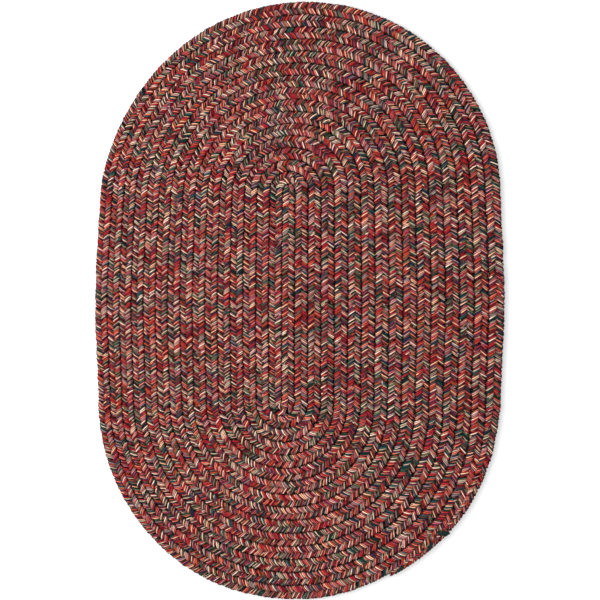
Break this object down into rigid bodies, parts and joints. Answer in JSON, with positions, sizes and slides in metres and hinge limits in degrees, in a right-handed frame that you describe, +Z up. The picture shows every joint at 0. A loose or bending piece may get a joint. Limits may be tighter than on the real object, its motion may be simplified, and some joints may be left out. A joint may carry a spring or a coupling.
{
  "type": "braided rug",
  "caption": "Oval braided rug, one three-strand yarn braid coiled flat and laced edge to edge, with a ribbed face on both sides.",
  "frame": {"origin": "centre of the rug's bounding box, on the surface it lies on", "axes": "+Y along the rug's length, towards the end where the coil starts; +X across it; +Z up, out of the face that shows"},
  "size_m": [0.6125, 0.8738, 0.01],
  "materials": {
    "tweed_yarn": "matt wool-blend yarn, each strand of thin plies in brick red, coral, tan, dark green, navy and plum"
  },
  "bodies": {
    "root": {"braided_rug": "tweed_yarn"}
  },
  "joints": []
}
